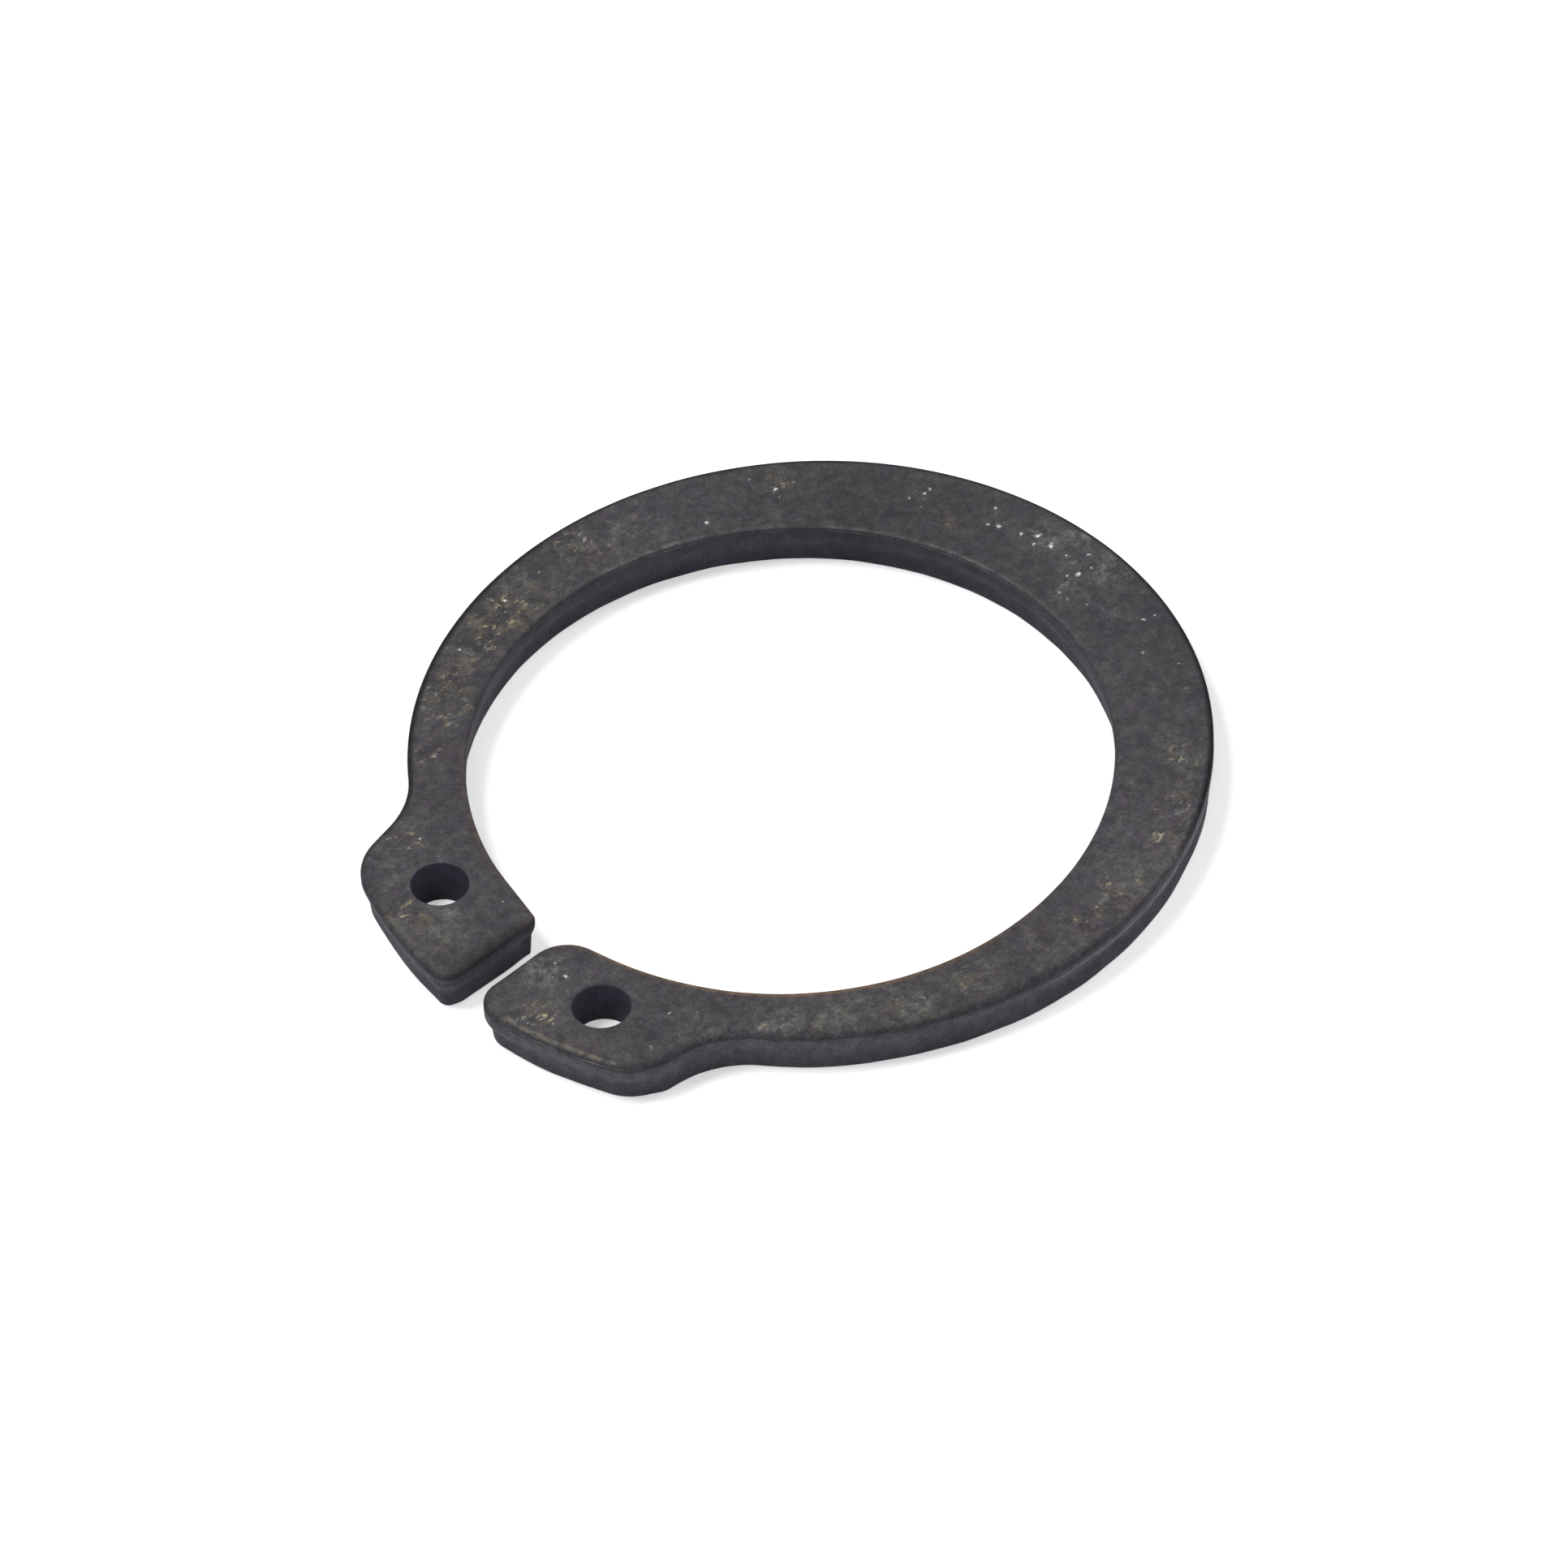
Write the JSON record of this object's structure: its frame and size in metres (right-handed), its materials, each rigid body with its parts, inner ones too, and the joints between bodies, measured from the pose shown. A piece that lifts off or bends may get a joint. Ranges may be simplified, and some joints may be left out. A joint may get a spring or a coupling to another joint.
{
  "type": "retaining ring",
  "caption": "Open flat spring ring that snaps into a shaft groove, widest at the back, with a drilled lug on each side of its narrow gap.",
  "frame": {"origin": "on the bore's axis, at the level of the bottom face", "axes": "+Z along the bore's axis, from the bottom face to the top face, where the outline is fullest. The gap between the lugs points along -Y and the widest part of the ring lies towards +Y"},
  "size_m": [0.0276, 0.0302, 0.0018],
  "materials": {
    "phosphated_steel": "matte dark grey phosphate coat, rubbed brown at the edges"
  },
  "bodies": {
    "root": {"retaining_ring": "phosphated_steel"}
  },
  "joints": []
}
